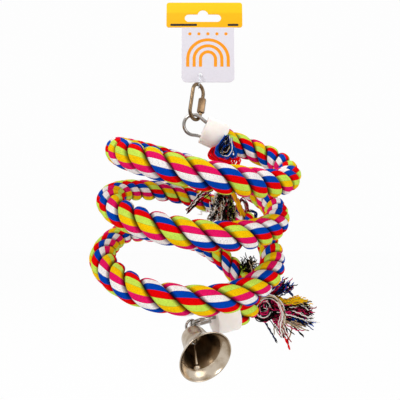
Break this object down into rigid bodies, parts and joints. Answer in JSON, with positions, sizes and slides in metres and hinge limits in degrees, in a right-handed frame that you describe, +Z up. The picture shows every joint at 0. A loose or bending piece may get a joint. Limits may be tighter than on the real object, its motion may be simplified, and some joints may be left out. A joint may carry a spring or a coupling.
{
  "type": "bird rope perch",
  "caption": "Hanging spiral rope perch for a pet bird, with wire-cored cotton rope, plastic end caps, wire eyes, a quick link, a bell, yarn bunches and a header card.",
  "frame": {"origin": "top of the header card's hang slot, where a hook carries everything", "axes": "+Z up, the way it hangs; -Y towards the viewer, the side with the bell's mouth; +X to the viewer's right, along the card's width"},
  "size_m": [0.242, 0.2217, 0.389],
  "materials": {
    "card": "satin",
    "clear_nylon": "gloss",
    "link_steel": "satin",
    "nut_steel": "satin",
    "bright_steel": "polished",
    "white_plastic": "satin",
    "set_resin": "matte",
    "cotton_rope": "matte",
    "blue_yarn": "matte",
    "red_yarn": "matte",
    "dark_yarn": "matte",
    "mixed_yarn": "matte",
    "bell_metal": "polished"
  },
  "bodies": {
    "card": {"header_card": "card"},
    "tag_loop": {"card_tag_loop": "clear_nylon"},
    "quick_link": {"quick_link_body": "link_steel"},
    "link_nut": {"quick_link_nut": "nut_steel"},
    "perch": {"upper_eye": "bright_steel", "upper_cap": "white_plastic", "upper_end_plug": "set_resin", "rope": "cotton_rope", "core_wire": "bright_steel", "yarn_skein_blue": "blue_yarn", "yarn_skein_red": "red_yarn", "yarn_bunch_middle": "dark_yarn", "yarn_bunch_rear": "dark_yarn"},
    "lower_end": {"lower_cap": "white_plastic", "lower_end_plug": "set_resin", "lower_eye": "bright_steel", "yarn_bunch_lower": "mixed_yarn"},
    "ring": {"bell_ring": "bright_steel"},
    "bell": {"bell_cup": "bell_metal", "bell_lug": "bell_metal"},
    "clapper": {"clapper_hook": "bright_steel", "clapper_rod": "bright_steel", "clapper_bead": "bright_steel"}
  },
  "joints": [
    {"name": "loop_swing", "type": "hinge", "parent": "card", "child": "tag_loop", "pos_m": [-0.0028, 0, -0.076], "axis": [0, 1, 0], "range_deg": [-15, 15]},
    {"name": "link_swing", "type": "hinge", "parent": "tag_loop", "child": "quick_link", "pos_m": [-0.00398, 0, -0.0849], "axis": [1, 0, 0], "range_deg": [-24, 22]},
    {"name": "nut_travel", "type": "slide", "parent": "quick_link", "child": "link_nut", "axis": [0.1392, 0, 0.9903], "range_m": [0, 0.006]},
    {"name": "perch_swing", "type": "hinge", "parent": "quick_link", "child": "perch", "pos_m": [-0.0098, 0, -0.1233], "axis": [1, 0, 0], "range_deg": [-24, 24]},
    {"name": "spiral_bounce", "type": "slide", "parent": "perch", "child": "lower_end", "axis": [0, 0, -1], "range_m": [-0.02, 0.06], "stiffness_N_per_m": 80, "springref_m": -0.0074, "deforming": ["rope", "core_wire"]},
    {"name": "ring_swing", "type": "hinge", "parent": "lower_end", "child": "ring", "pos_m": [-0.01156, -0.01362, -0.3366], "axis": [0.2512, -0.8692, 0.4259], "range_deg": [-20, 15]},
    {"name": "bell_swing", "type": "hinge", "parent": "ring", "child": "bell", "pos_m": [-0.01316, -0.01431, -0.34369], "axis": [-0.8439, -0.4813, 0.237], "range_deg": [-60, 0]},
    {"name": "clapper_swing", "type": "hinge", "parent": "bell", "child": "clapper", "pos_m": [-0.00959, -0.02217, -0.34685], "axis": [-0.8439, -0.4813, 0.237], "range_deg": [0, 64]}
  ]
}
